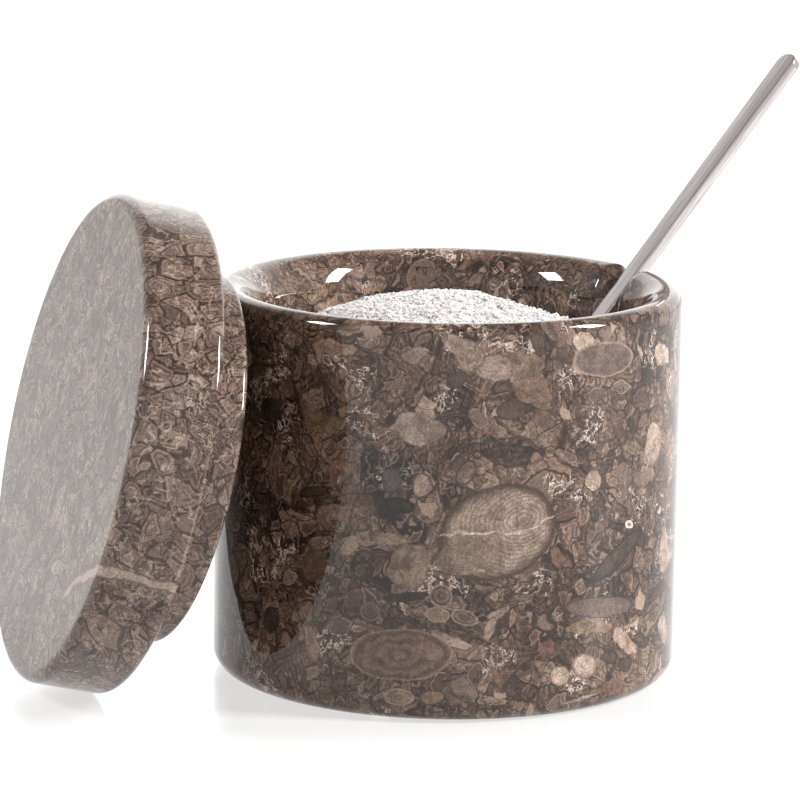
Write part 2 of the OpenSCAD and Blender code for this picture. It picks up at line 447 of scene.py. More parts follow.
# %% Turn the heap and lower it round the spoon
SALT_TOP = POT_H - 2.2 * MM
SALT_DOME_R = 77 * MM
SALT_GAP = 0.3 * MM
DOME_RINGS = 80
HEAP_STEPS = 240
PIT_SLOPE = math.tan(math.radians(80))
PIT_GAP = 0.6 * MM
PIT_DEPTH = 30 * MM

salt_r = BORE_R - SALT_GAP
dome_z = SALT_TOP - SALT_DOME_R
dome_edge = math.acos(salt_r / SALT_DOME_R)
dome_step = (math.pi / 2 - dome_edge) / DOME_RINGS
dome = [dome_edge + dome_step * i for i in range(DOME_RINGS + 1)]
salt_outline = [(0, FLOOR)]
salt_outline += arc(salt_r - CAVITY_CORNER_R, corner_z, CAVITY_CORNER_R, -90, 0)
salt_outline += [(SALT_DOME_R * math.cos(a), dome_z + SALT_DOME_R * math.sin(a)) for a in dome]
salt = turned("salt_heap", salt_outline, [(2 * math.pi, HEAP_STEPS)])
bowl_out = spoon_out - HANDLE_IN * math.cos(SPOON_RISE)
under = (BOWL_DEPTH + PIT_GAP) / math.cos(SPOON_RISE)


def pit_share(co):
    """How far the heap is lowered at a point, as a share of the greatest depth."""
    if co.z < POT_H / 2 or math.hypot(co.x, co.y) > salt_r - 0.01 * MM:
        return 0
    along, across = from_slot(co)
    beside = max(0, math.hypot(along - bowl_out, across) - BOWL_R - PIT_GAP)
    if along > bowl_out:
        beside = min(beside, max(0, across - HANDLE_END_W / 2))
    pit = spoon_z + (along - spoon_out) * math.tan(SPOON_RISE) - under + beside * PIT_SLOPE
    return max(0, co.z - pit) / PIT_DEPTH


moved_by(salt, "pit", -PIT_DEPTH, pit_share)

# %% [markdown]
# Salt that was spooned in lies in soft lumps, so a cloudy pattern lowers the top of the heap
# here and there, by a second Displace modifier. It only lowers it, so that the heap stays
# clear of the spoon and the wall.

# %% Make the heap uneven
LUMP_DEPTH = 0.7 * MM
LUMP_SIZE = 7 * MM
CALM_EDGE = 4 * MM
lumps = bpy.data.textures.new("lumps", "CLOUDS")
lumps.noise_scale = LUMP_SIZE
lumps.noise_depth = 4
open_top = salt.vertex_groups.new(name="top")
for v in salt.data.vertices:
    if v.co.z > POT_H / 2:
        weight = min(1, (salt_r - math.hypot(v.co.x, v.co.y)) / CALM_EDGE)
        open_top.add([v.index], weight, "REPLACE")
uneven = salt.modifiers.new("uneven", "DISPLACE")
uneven.texture = lumps
uneven.texture_coords = "LOCAL"
uneven.direction = "Z"
uneven.mid_level = 1
uneven.strength = LUMP_DEPTH * 2
uneven.vertex_group = "top"
only(salt)
bpy.ops.object.modifier_apply(modifier="uneven")
heap_top = max(v.co.z for v in salt.data.vertices)
print("heap:", len(salt.data.polygons), "faces, top at", round(heap_top / MM, 1), "mm")

# %% [markdown]
# ## A small kit for nodes
# One function adds a node to a tree, sets it up, and links or fills its inputs, for geometry
# and for materials alike. Colours are written as the hex values seen on screen, and one
# function turns them to the linear values that the shaders need.

# %% Helpers for nodes
def linear(hex_colour):
    """A colour written as #rrggbb, turned to linear red, green, blue and alpha."""
    parts = [int(hex_colour[i:i + 2], 16) / 255 for i in (1, 3, 5)]
    return [c / 12.92 if c <= 0.04045 else ((c + 0.055) / 1.055) ** 2.4 for c in parts] + [1]


def fill(tree, made, inputs):
    """Links or fills some inputs of a node, by name or number."""
    for name, value in inputs.items():
        if isinstance(value, bpy.types.NodeSocket):
            tree.links.new(value, made.inputs[name])
        else:
            made.inputs[name].default_value = linear(value) if isinstance(value, str) else value


def node(tree, kind, *values, out=0, stops=(), **settings):
    """Adds a node and sets it up.

    The values go to its inputs in order, or to those that a dictionary names. The stops are
    a colour ramp's. Returns one output, or the node itself where out is None.
    """
    made = tree.nodes.new(kind if "Node" in kind else "ShaderNode" + kind)
    for name, value in settings.items():
        setattr(made, name, value)
    by_name = values and isinstance(values[0], dict)
    fill(tree, made, values[0] if by_name else dict(enumerate(values)))
    for i, (position, colour) in enumerate(stops):
        points = made.color_ramp.elements
        point = points[i] if i < len(points) else points.new(position)
        point.position = position
        point.color = linear(colour)
    return made if out is None else made.outputs[out]


# %% [markdown]
# The grains are sea salt, crushed to bits of less than a millimetre. Each is a small block
# with its own turn and stretch, and geometry nodes scatter them over the open top of the
# heap: thousands of copies of one block, without placing any by hand.

# %% Scatter the grains
GRAIN = 0.8 * MM
GRAIN_BLOCK = (GRAIN, GRAIN * 0.85, GRAIN * 0.7)
GRAINS_PER_MM2 = 1.3
SMALLEST, LARGEST = 0.35, 1.3
only(salt)
bpy.ops.object.duplicate()
grains = bpy.context.object
grains.name = "salt_grains"
group = bpy.data.node_groups.new("grains", "GeometryNodeTree")
for way in ("INPUT", "OUTPUT"):
    group.interface.new_socket("Geometry", in_out=way, socket_type="NodeSocketGeometry")

heap = node(group, "NodeGroupInput")
spot = node(group, "GeometryNodeInputPosition")
height = node(group, "SeparateXYZ", spot, out=2)
flat = node(group, "VectorMath", spot, (1, 1, 0), operation="MULTIPLY")
out_r = node(group, "VectorMath", flat, out="Value", operation="LENGTH")
high = node(group, "FunctionNodeCompare", height, POT_H * 0.6, operation="GREATER_THAN")
inner = node(group, "FunctionNodeCompare", out_r, salt_r - GRAIN, operation="LESS_THAN")
both = node(group, "FunctionNodeBooleanMath", high, inner, operation="AND")
points = node(
    group, "GeometryNodeDistributePointsOnFaces",
    {"Mesh": heap, "Selection": both, "Density": GRAINS_PER_MM2 / MM**2, "Seed": 7},
)
block = node(group, "GeometryNodeMeshCube", {"Size": GRAIN_BLOCK})
turns = node(
    group, "FunctionNodeRandomValue", {"Min": (0,) * 3, "Max": (math.tau,) * 3, "Seed": 3},
    data_type="FLOAT_VECTOR",
)
stretch = node(
    group, "FunctionNodeRandomValue", {"Min": (SMALLEST,) * 3, "Max": (LARGEST,) * 3, "Seed": 5},
    data_type="FLOAT_VECTOR",
)
placed = node(
    group, "GeometryNodeInstanceOnPoints",
    {"Points": points, "Instance": block, "Rotation": turns, "Scale": stretch},
)
node(group, "NodeGroupOutput", node(group, "GeometryNodeRealizeInstances", placed), out=None)
scatter = grains.modifiers.new("grains", "NODES")
scatter.node_group = group
only(grains)
bpy.ops.object.modifier_apply(modifier="grains")
bpy.ops.object.shade_flat()
print("grains:", len(grains.data.polygons) // 6)

# %% [markdown]
# ## Fossil limestone, cut and polished
# The stone is a brown limestone made of broken shells, corals and worm tubes. On a cut face
# each of them is a flat slice of a solid form, so everything here is a pattern in space: where
# the surface cuts it, it shows the same on the wall, round the rim and inside the pot.
# These helpers give the place in millimetres, bend it so that nothing is drawn with a ruler,
# and draw fine lines. The stone has more layers than the renderer can hold at a time, so each
# layer waits for the colour of the one before.

# %% Places, cells and lines
SMOOTH = {"interpolation_type": "SMOOTHSTEP"}
COLOURS = {"out": 2, "data_type": "RGBA"}
LOCAL = {"vector_type": "TEXTURE"}
CENTRE = (0, 0, 0)
MIDDLE = (0.5, 0.5, 0.5)
A_TRACE = (1e-6, 1e-6, 1e-6)
LOOSENESS = 0.95


def new_material(name):
    """An empty node material: its tree, its surface shader and the place in millimetres."""
    material = bpy.data.materials.new(name)
    material.use_nodes = True
    tree = material.node_tree
    where = node(tree, "TexCoord", out="Object")
    in_mm = node(tree, "VectorMath", {0: where, "Scale": 1 / MM}, operation="SCALE")
    return material, tree, tree.nodes["Principled BSDF"], in_mm


def warped(tree, where, size, amount, seed, detail=2.0):
    """The place, pushed about by a noise of this size in mm, by up to this amount in mm."""
    inputs = {"Vector": where, "W": seed, "Scale": 1 / size, "Detail": detail, "Roughness": 0.55}
    noise = node(tree, "TexNoise", inputs, out="Color", noise_dimensions="4D")
    push = node(tree, "VectorMath", noise, MIDDLE, operation="SUBTRACT")
    push = node(tree, "VectorMath", {0: push, "Scale": amount * 3}, operation="SCALE")
    return node(tree, "VectorMath", where, push, operation="ADD")


def after(tree, where, colour):
    """The same place, but worked out after a colour.

    The renderer keeps only a few dozen values at a time. A millionth of a millimetre that hangs
    on the colour below makes it finish each layer before it starts the next.
    """
    return node(tree, "VectorMath", colour, A_TRACE, where, operation="MULTIPLY_ADD")


def radians(turn):
    """Three angles in degrees, turned to radians."""
    return [math.radians(a) for a in turn]


def cells(tree, local, **settings):
    """Cells of about unit size: the distance, three random values, and their colour."""
    inputs = {"Vector": local, "Scale": 1.0, "Randomness": LOOSENESS}
    made = node(tree, "TexVoronoi", inputs, out=None, **settings).outputs
    parts = node(tree, "SeparateColor", made["Color"], out=None).outputs
    return made["Distance"], parts, made["Color"]


def lines(tree, value, count):
    """Fine lines that follow the contours of a value, between 0 and 1."""
    angle = node(tree, "Math", value, 2 * math.pi * count, operation="MULTIPLY")
    wave = node(tree, "Math", angle, operation="SINE")
    return node(tree, "Math", wave, 0.5, 0.5, operation="MULTIPLY_ADD")


def weighed(tree, total, *terms):
    """A sum that starts at a number, or at a value, and adds each value times its share."""
    for value, share in terms:
        total = node(tree, "Math", value, share, total, operation="MULTIPLY_ADD")
    return total


# %% [markdown]
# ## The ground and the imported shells
# Most of the stone is mud full of shell bits, packed edge to edge. So the ground is a set of
# cells of uneven size, each with its own tone, its own fine laminations and lines that follow
# its outline. Beds of smaller cells lie over it, lengthened one way as shells settle, with a
# dark joint between them.

# %% Mud and shell beds
MUD_SIZES = (15, 10, 9)
MUD_TURN = (15, 20, 40)
BED_COVER = 0.85


def packed(tree, where, grain, sizes, turn, rings, seed):
    """Pieces packed edge to edge.

    Returns three random values of each, lines that follow its outline, the distance in from
    the outline, and a random colour.
    """
    local = node(tree, "Mapping", where, (seed, 0, 0), radians(turn), sizes, **LOCAL)
    parts, random = cells(tree, local)[1:]
    inputs = {"Vector": local, "Scale": 1.0, "Randomness": LOOSENESS}
    inward = node(tree, "TexVoronoi", inputs, out="Distance", feature="DISTANCE_TO_EDGE")
    wavy = weighed(tree, inward, (grain, 0.5 / rings))
    depth = weighed(tree, 0.4, (parts[2], 0.6))
    ring = node(tree, "Math", lines(tree, wavy, rings), depth, operation="MULTIPLY")
    return parts, ring, inward, random


def mud(tree, where, soft, torn, grain, stops):
    """The ground of the stone: broken pieces, each with its own tone and laminations."""
    parts, ring, inward, random = packed(tree, torn, grain, MUD_SIZES, MUD_TURN, 9, 0)
    apart = node(tree, "VectorMath", {0: random, "Scale": 40.0}, operation="SCALE")
    own = node(tree, "VectorMath", soft, apart, operation="ADD")
    inputs = {"Vector": own, "Scale": 1 / 7, "Detail": 5.0, "Roughness": 0.62}
    flow = node(tree, "TexNoise", inputs)
    cloud = node(tree, "TexNoise", {"Vector": where, "Scale": 1 / 16, "Detail": 2.0})
    value = weighed(
        tree, -0.48, (parts[0], 0.42), (flow, 0.6), (cloud, 1.0), (ring, -0.2),
        (lines(tree, flow, 11), -0.16),
    )
    return node(tree, "ValToRGB", value, stops=stops), inward


def shell_bed(tree, under_colour, where, grain, sizes, turn, rings, keep, stops, seed):
    """Shells packed side by side, cut through: growth lines inside, dark joints between."""
    where = after(tree, where, under_colour)
    parts, ring, inward = packed(tree, where, grain, sizes, turn, rings, seed)[:3]
    joint = node(tree, "MapRange", inward, 0.02, 0.1, 1, 0, **SMOOTH)
    value = weighed(tree, 0.42, (parts[0], 0.4), (ring, -0.4), (joint, -0.45))
    bed = node(tree, "ValToRGB", value, stops=stops)
    share = node(tree, "Math", parts[1], keep, operation="LESS_THAN")
    share = node(tree, "Math", share, BED_COVER, operation="MULTIPLY")
    return node(tree, "Mix", {0: share, 6: under_colour, 7: bed}, **COLOURS)


# %% [markdown]
# ## Threads, shells and splinters
# Over the ground come the small things that the eye catches: nests of curly white calcite,
# thin curved lines where a shell is cut on edge, whole shells with growth rings, and pale
# splinters with corners. Each kind is one function, used again at other sizes.

# %% Threads, shells and splinters
NEST_SIZE = 11
THREAD_SHARPNESS = 14.0
SHELL_RADIUS = 0.47
SPLINTER_RADIUS = 0.34


def lace(tree, under_colour, torn, size, count, colour, strength):
    """Curly threads of white calcite, gathered in nests like torn lace."""
    torn = after(tree, torn, under_colour)
    inputs = {"Vector": torn, "Scale": 1 / NEST_SIZE, "Detail": 1.0}
    nest = node(tree, "SeparateColor", node(tree, "TexNoise", inputs, out="Color"))
    nest = node(tree, "MapRange", nest, 0.36, 0.42, 1, 0, **SMOOTH)
    inputs = {"Vector": torn, "Scale": 1 / size, "Detail": 3.0, "Roughness": 0.6}
    thread = lines(tree, node(tree, "TexNoise", inputs), count)
    thread = node(tree, "Math", thread, THREAD_SHARPNESS, operation="POWER")
    share = node(tree, "Math", thread, nest, operation="MULTIPLY")
    share = node(tree, "Math", share, strength, operation="MULTIPLY")
    return node(tree, "Mix", {0: share, 6: under_colour, 7: colour}, **COLOURS)


def wisps(tree, under_colour, where, size, count, sharpness, colour, strength):
    """Thin curved lines here and there, the edges of shells too thin to see otherwise."""
    where = after(tree, where, under_colour)
    inputs = {"Vector": where, "Scale": 1 / size, "Detail": 2.5, "Roughness": 0.5}
    noise = node(tree, "TexNoise", inputs, out=None)
    line = lines(tree, noise.outputs[0], count)
    line = node(tree, "Math", line, sharpness, operation="POWER")
    patch = node(tree, "SeparateColor", noise.outputs["Color"], out=2)
    patch = node(tree, "MapRange", patch, 0.6, 0.45, 1, 0, **SMOOTH)
    share = node(tree, "Math", line, patch, operation="MULTIPLY")
    share = node(tree, "Math", share, strength, operation="MULTIPLY")
    return node(tree, "Mix", {0: share, 6: under_colour, 7: colour}, **COLOURS)


def shells(tree, under_colour, where, sizes, turn, keep, colours, rings):
    """Whole shells of one size, cut through: ovals with two rims and growth rings."""
    ground, tint, rim, inner_rim = colours
    where = after(tree, where, under_colour)
    local = node(tree, "Mapping", where, CENTRE, radians(turn), sizes, **LOCAL)
    distance, parts = cells(tree, local)[:2]
    reach = weighed(tree, SHELL_RADIUS / 2, (parts[2], SHELL_RADIUS / 2))
    share = node(tree, "Math", distance, reach, operation="DIVIDE")
    inside = node(tree, "MapRange", share, 0.94, 1.0, 1, 0, **SMOOTH)
    kept = node(tree, "Math", parts[1], keep, operation="LESS_THAN")
    inside = node(tree, "Math", inside, kept, operation="MULTIPLY")
    body = node(tree, "Mix", {0: parts[0], 6: ground, 7: tint}, **COLOURS)
    ring = node(tree, "Math", lines(tree, share, rings), 0.45, operation="MULTIPLY")
    body = node(tree, "Mix", {0: ring, 6: body, 7: ground}, **COLOURS)
    for start, stop, colour in ((0.74, 0.84, inner_rim), (0.86, 0.93, rim)):
        within = node(tree, "MapRange", share, start, stop, 1, 0, **SMOOTH)
        body = node(tree, "Mix", {0: within, 6: colour, 7: body}, **COLOURS)
    return node(tree, "Mix", {0: inside, 6: under_colour, 7: body}, **COLOURS)


def splinters(tree, under_colour, torn, grain, sizes, turn, keep, colours):
    """Pale broken pieces with corners."""
    torn = after(tree, torn, under_colour)
    local = node(tree, "Mapping", torn, CENTRE, radians(turn), sizes, **LOCAL)
    distance, parts = cells(tree, local, distance="MANHATTAN")[:2]
    reach = weighed(tree, SPLINTER_RADIUS / 2, (parts[0], SPLINTER_RADIUS))
    edge = node(tree, "Math", distance, reach, operation="SUBTRACT")
    inside = node(tree, "MapRange", edge, -0.03, 0.0, 1, 0, **SMOOTH)
    kept = node(tree, "Math", parts[1], keep, operation="LESS_THAN")
    inside = node(tree, "Math", inside, kept, operation="MULTIPLY")
    light = node(tree, "Math", grain, 0.8, operation="MULTIPLY")
    body = node(tree, "Mix", {0: light, 6: colours[0], 7: colours[1]}, **COLOURS)
    return node(tree, "Mix", {0: inside, 6: under_colour, 7: body}, **COLOURS)


# %% [markdown]
# ## Fossils that stand out on the pot
# On the real pot some fossils stand out, and people would know the piece by them. Each has its
# azimuth round the wall and its height, its half length, half height and tilt, as measured on
# the object. Cut shells are smooth ovals, broken ones have torn outlines, and two hair-thin
# cracks filled with calcite run through the largest. Each is an ellipsoid in the stone, and
# the wall shows where it cuts it.

# %% The tables of fossils
GREY = ("#6a5c54", "#4f433d")
DARK = ("#51443c", "#362c27")
BLACK = ("#2a221e", "#3b312b")
PALE = ("#a39284", "#7b6b5f")
SAND = ("#b5a598", "#8b7a6d")
TAN = ("#86725f", "#5d4c41")
RUST = ("#745649", "#56433a")
OLIVE = ("#94826d", "#806f5e")
CALCITE = ("#c9bcae", "#9c8c7d")
EDGE = "#332a25"
PALE_EDGE = "#8d7d70"
SMOOTH_FOSSILS = [
    # azimuth, height, half length, half height, tilt, tones, edge, edge share, rings
    (-77.8, 40.7, 13.7, 10.3, 15, ("#a59485", "#75665c"), "#3a2f29", 0.13, 13.0),
    (-84.5, 36.6, 7.6, 4.2, 24, ("#8a796c", "#63554c"), "#4f4239", 0.03, 8.0),
    (-50.1, 75.3, 8.7, 3.8, -4, GREY, PALE_EDGE, 0.08, 0),
    (-69.0, 80.5, 3.6, 1.5, -77, DARK, EDGE, 0.1, 0),
    (-43.7, 33.0, 9.4, 2.4, 30, DARK, "#211b18", 0.2, 2.0),
    (-49.2, 22.5, 10.5, 2.3, -7, GREY, EDGE, 0.08, 0),
    (-61.3, 9.1, 2.6, 2.3, -27, SAND, "#5d4e44", 0.12, 3.0),
    (-54.1, 10.5, 3.6, 2.9, -23, SAND, "#5d4e44", 0.12, 4.0),
    (-46.1, 11.3, 2.6, 1.7, -15, DARK, EDGE, 0.2, 0),
    (-40.4, 8.9, 2.6, 1.7, -18, DARK, EDGE, 0.2, 0),
    (-91.3, 27.4, 2.5, 2.5, 87, DARK, PALE_EDGE, 0.12, 2.0),
    (-92.1, 23.3, 2.7, 1.7, -4, TAN, PALE_EDGE, 0.15, 2.0),
    (-85.5, 22.8, 3.1, 1.7, -19, DARK, PALE_EDGE, 0.12, 2.0),
    (-85.9, 53.4, 2.9, 1.9, 60, TAN, EDGE, 0.14, 3.0),
    (-75.2, 66.3, 3.4, 2.1, 6, DARK, EDGE, 0.1, 0),
    (-88.4, 72.7, 2.5, 1.7, 32, DARK, EDGE, 0.1, 0),
    (-103.8, 63.9, 1.3, 1.2, 40, BLACK, EDGE, 0.1, 0),
    (-103.6, 51.4, 3.0, 2.1, 78, ("#5b5052", "#4a4042"), "#332b2a", 0.1, 0),
    (-101.3, 46.2, 3.3, 1.7, -6, BLACK, "#1c1715", 0.2, 0),
    (-100.8, 14.5, 11.4, 5.7, 4, ("#5c4a3f", "#463830"), PALE_EDGE, 0.05, 3.0),
    (-93.6, 15.6, 3.1, 2.1, -19, ("#80695b", "#6d584c"), "#5a4a40", 0.1, 0),
    (-99.8, 26.9, 5.0, 1.1, 8, BLACK, EDGE, 0.1, 0),
    (-108.3, 23.1, 2.2, 2.1, 38, DARK, "#6d5e54", 0.15, 2.0),
    (-100.9, 5.5, 3.4, 1.9, 5, TAN, PALE_EDGE, 0.15, 2.0),
    (-93.0, 5.8, 2.9, 1.7, 2, TAN, EDGE, 0.12, 0),
    (-136.9, 17.8, 3.2, 2.7, 57, BLACK, EDGE, 0.1, 0),
    (-138.0, 62.6, 3.4, 2.8, 34, BLACK, EDGE, 0.1, 0),
    (-123.6, 47.1, 4.1, 1.2, 15, BLACK, "#1c1715", 0.2, 0),
    (-40.2, 39.0, 1.4, 0.9, -19, TAN, "#c9bcae", 0.4, 0),
]
TORN_FOSSILS = [
    # the same columns
    (-71.1, 72.6, 7.4, 3.2, -53, TAN, "#5a4a40", 0.05, 5.0),
    (-79.2, 75.0, 3.9, 3.4, -9, PALE, "#5a4a40", 0.1, 3.0),
    (-85.2, 77.7, 4.2, 4.0, -12, PALE, "#5a4a40", 0.1, 3.0),
    (-89.0, 79.6, 2.9, 2.5, 0, PALE, "#6a5a4e", 0.05, 0),
    (-56.7, 80.3, 2.7, 1.9, 0, SAND, "#6a5a4e", 0.05, 0),
    (-26.5, 73.3, 4.4, 2.6, -16, SAND, "#6a5a4e", 0.05, 0),
    (-29.8, 55.2, 5.2, 3.2, -70, PALE, "#6a5a4e", 0.05, 0),
    (-52.7, 49.6, 3.0, 2.4, -56, SAND, "#6a5a4e", 0.05, 0),
    (-52.3, 18.6, 6.9, 1.9, -9, TAN, "#5a4a40", 0.05, 0),
    (-39.5, 13.5, 5.4, 2.1, -38, PALE, "#5a4a40", 0.08, 0),
    (-62.1, 35.0, 2.4, 1.5, -9, RUST, "#5a4a40", 0.05, 0),
    (-64.2, 14.5, 3.0, 2.1, -13, RUST, "#5a4a40", 0.05, 0),
    (-77.5, 10.0, 2.9, 1.9, -5, RUST, "#5a4a40", 0.05, 0),
    (-45.1, 4.0, 4.2, 2.0, -12, RUST, "#5a4a40", 0.05, 0),
    (-77.1, 23.8, 3.1, 1.1, 12, PALE, "#453830", 0.1, 0),
    (-80.2, 20.5, 3.3, 1.1, 63, PALE, "#453830", 0.1, 0),
    (-88.7, 18.1, 4.6, 1.5, -40, PALE, "#453830", 0.1, 0),
    (-80.2, 67.3, 2.2, 0.4, -89, SAND, "#6a5a4e", 0.05, 0),
    (-21.6, 30.4, 4.7, 3.0, -75, PALE, "#6a5a4e", 0.05, 0),
    (-21.5, 12.9, 3.9, 2.4, -60, PALE, "#6a5a4e", 0.05, 0),
    (-97.6, 62.5, 6.2, 3.1, -2, ("#978b80", "#6f6157"), "#5a4a40", 0.05, 0),
    (-95.3, 67.0, 2.5, 0.9, 10, SAND, "#453830", 0.1, 0),
    (-99.0, 76.6, 3.1, 1.9, 21, PALE, "#453830", 0.1, 0),
    (-116.8, 77.2, 4.0, 2.0, 7, TAN, "#453830", 0.05, 0),
    (-121.5, 62.1, 5.6, 2.9, 8, ("#6b5a44", "#4a3d33"), "#3a302a", 0.05, 0),
    (-96.6, 50.8, 2.5, 2.4, 63, PALE, "#453830", 0.12, 0),
    (-106.0, 38.6, 6.2, 1.3, 8, OLIVE, "#5a4a40", 0.08, 0),
    (-113.6, 37.3, 2.3, 1.9, 29, OLIVE, "#5a4a40", 0.08, 0),
    (-99.0, 33.5, 5.3, 5.0, 75, ("#8c7a69", "#5e4f45"), "#5a4a40", 0.05, 0),
    (-119.4, 52.2, 2.6, 1.2, 89, ("#6d5642", "#54443a"), "#3a302a", 0.05, 0),
    (-123.7, 15.0, 3.8, 2.4, -72, TAN, "#453830", 0.05, 0),
    (-123.1, 32.7, 4.4, 3.4, 65, ("#4f3f31", "#3b2f28"), "#2a221e", 0.05, 0),
    (-138.6, 27.2, 4.8, 0.4, -73, TAN, "#453830", 0.05, 0),
]
CRACKS = [
    # the same columns
    (-85.6, 40.3, 7.0, 0.35, 5, CALCITE, CALCITE[1], 0.1, 0),
    (-70.8, 41.6, 6.6, 0.3, 11, CALCITE, CALCITE[1], 0.1, 0),
]
print("fossils:", len(SMOOTH_FOSSILS), "smooth,", len(TORN_FOSSILS), "torn")

# %% [markdown]
# A fossil is laid over the colour below it, tone by tone: its mottled body, then its growth
# rings round a heart, then its rim. The largest grew from a heart near one end, as such
# shells do. A rusty one is a stain more than a piece, so it covers less.

# %% Lay fossils on the wall
BIG_HEART = (0.42, 0, 0.1)
BIG = 13
RUST_COVER = 0.4


def fossil(tree, under_colour, mottle, local, tones, edge, edge_share, rings, heart, cover):
    """One fossil, a ball of unit size in its own local place, laid over the colour below."""
    share = node(tree, "VectorMath", local, out="Value", operation="LENGTH")
    body = node(tree, "Mix", {0: mottle, 6: tones[0], 7: tones[1]}, **COLOURS)
    if rings:
        aside = node(tree, "VectorMath", local, heart, operation="SUBTRACT")
        from_heart = node(tree, "VectorMath", aside, out="Value", operation="LENGTH")
        wavy = weighed(tree, from_heart, (mottle, 0.5 / rings))
        ring = node(tree, "Math", lines(tree, wavy, rings), 0.4, operation="MULTIPLY")
        body = node(tree, "Mix", {0: ring, 6: body, 7: edge}, **COLOURS)
    start, stop = 1 - edge_share * 2.2, 1 - edge_share * 0.4
    within = node(tree, "MapRange", share, start, stop, 1, 0, **SMOOTH)
    body = node(tree, "Mix", {0: within, 6: edge, 7: body}, **COLOURS)
    inside = node(tree, "MapRange", share, 0.93, 1.0, 1, 0, **SMOOTH)
    thick = weighed(tree, 1.0, (mottle, cover - 1))
    inside = node(tree, "Math", inside, thick, operation="MULTIPLY")
    return node(tree, "Mix", {0: inside, 6: under_colour, 7: body}, **COLOURS)


def lay_fossils(tree, colour, where, mottle, rows, depth, cover):
    """Lays the fossils of a table on the pot's wall, each over the ones before."""
    for azimuth, height, length, tall, tilt, tones, edge, edge_share, rings in rows:
        a = math.radians(azimuth)
        place = (POT_R / MM * math.cos(a), POT_R / MM * math.sin(a), height)
        turn = radians((0, -tilt, azimuth + 90))
        radii = (length, depth, tall)
        local = node(tree, "Mapping", after(tree, where, colour), place, turn, radii, **LOCAL)
        heart = BIG_HEART if length > BIG else CENTRE
        own_cover = RUST_COVER if tones == RUST else cover
        colour = fossil(
            tree, colour, mottle, local, tones, edge, edge_share, rings, heart, own_cover,
        )
    return colour


# %% [markdown]
# ## What both stones share
# The place is bent three times, by noises of falling size, so that big pieces sway and small
# ones have torn edges. Polished limestone has a mirror-like face with a little blur. A grain
# far finer than a millimetre stays under the polish and only softens the colour, and a trace
# of iron warms it.

# %% The start and the finish of a stone
IRON_TINT = "#fff6f2"
STONE_IOR = 1.5
STONE_POLISH = 0.04
FINE_GRAIN = 0.32
COARSE_GRAIN = 0.9


def stone_base(name, seed):
    """An empty stone: material, tree, shader and the place, bent more and more by the layers."""
    material, tree, shader, where = new_material(name)
    soft = warped(tree, where, 15, 2.6, seed)
    bent = warped(tree, soft, 4.5, 0.9, seed + 1)
    torn = warped(tree, bent, 1.4, 0.34, seed + 2, 3.0)
    inputs = {"Vector": torn, "Scale": 1 / COARSE_GRAIN, "Detail": 5.0, "Roughness": 0.7}
    grain = node(tree, "MapRange", node(tree, "TexNoise", inputs), 0.3, 0.7, 0, 1)
    return material, tree, shader, where, soft, bent, torn, grain


def polished(tree, shader, where, colour, grain):
    """The finish of polished stone, with its fine grain and its tint."""
    inputs = {"Vector": after(tree, where, colour), "Scale": 1 / FINE_GRAIN, "Detail": 2.0}
    light = weighed(tree, -0.37, (node(tree, "TexNoise", inputs), 2.2), (grain, 0.75))
    for tint in (IRON_TINT, light):
        inputs = {0: 1.0, 6: colour, 7: tint}
        colour = node(tree, "Mix", inputs, blend_type="MULTIPLY", **COLOURS)
    fill(tree, shader, {"Base Color": colour, "IOR": STONE_IOR, "Roughness": STONE_POLISH})


# %% [markdown]
# ## The stone of the pot
# The pot and the lid come from different blocks of the same bed. The pot's is the darker one
# and has the bigger fossils. The layers go from the ground to the lace, and the fossils that
# stand out come last.

# %% The stone of the pot
POT_STOPS = [
    (0.04, "#1d1613"), (0.22, "#362a25"), (0.38, "#4f3e36"),
    (0.54, "#655347"), (0.7, "#7c695b"), (0.9, "#988676"),
]
BIG_SHELLS = ("#4f4139", "#7b6b60", "#2c2420", "#6a5a4f")
SMALL_SHELLS = ("#463931", "#74635a", "#2c2420", "#857466")
JOINT = "#2c2420"
pot_stone, tree, shader, where, soft, bent, torn, grain = stone_base(
    "polished_fossil_limestone_pot", seed=1.0,
)
colour, inward = mud(tree, where, soft, torn, grain, POT_STOPS)
colour = shell_bed(
    tree, colour, bent, grain, sizes=(9, 4.6, 5.4), turn=(70, 10, 35),
    rings=7, keep=0.4, stops=POT_STOPS, seed=3.0,
)
colour = wisps(tree, colour, bent, size=5, count=7, sharpness=7, colour="#a4968a", strength=0.45)
for where_to, sizes, keep, colours, rings in (
    (bent, (17, 9, 11), 0.3, BIG_SHELLS, 11.0), (torn, (9, 4.6, 6), 0.25, SMALL_SHELLS, 7.0),
):
    colour = shells(tree, colour, where_to, sizes, (20, 35, 70), keep, colours, rings)
colour = shell_bed(
    tree, colour, torn, grain, sizes=(3.6, 1.7, 2.2), turn=(10, 50, 140),
    rings=3, keep=0.25, stops=POT_STOPS, seed=7.0,
)
colour = wisps(tree, colour, torn, size=8, count=9, sharpness=7, colour="#261e1a", strength=0.6)
joint = node(tree, "MapRange", inward, 0.012, 0.05, 1, 0, **SMOOTH)
joint = node(tree, "Math", joint, 0.6, operation="MULTIPLY")
colour = node(tree, "Mix", {0: joint, 6: colour, 7: JOINT}, **COLOURS)
colour = splinters(
    tree, colour, torn, grain, sizes=(9, 4.5, 6), turn=(30, 60, 10),
    keep=0.18, colours=("#a2917f", "#6f5e51"),
)
colour = lace(tree, colour, torn, size=2.2, count=4, colour="#d2c8bd", strength=0.8)

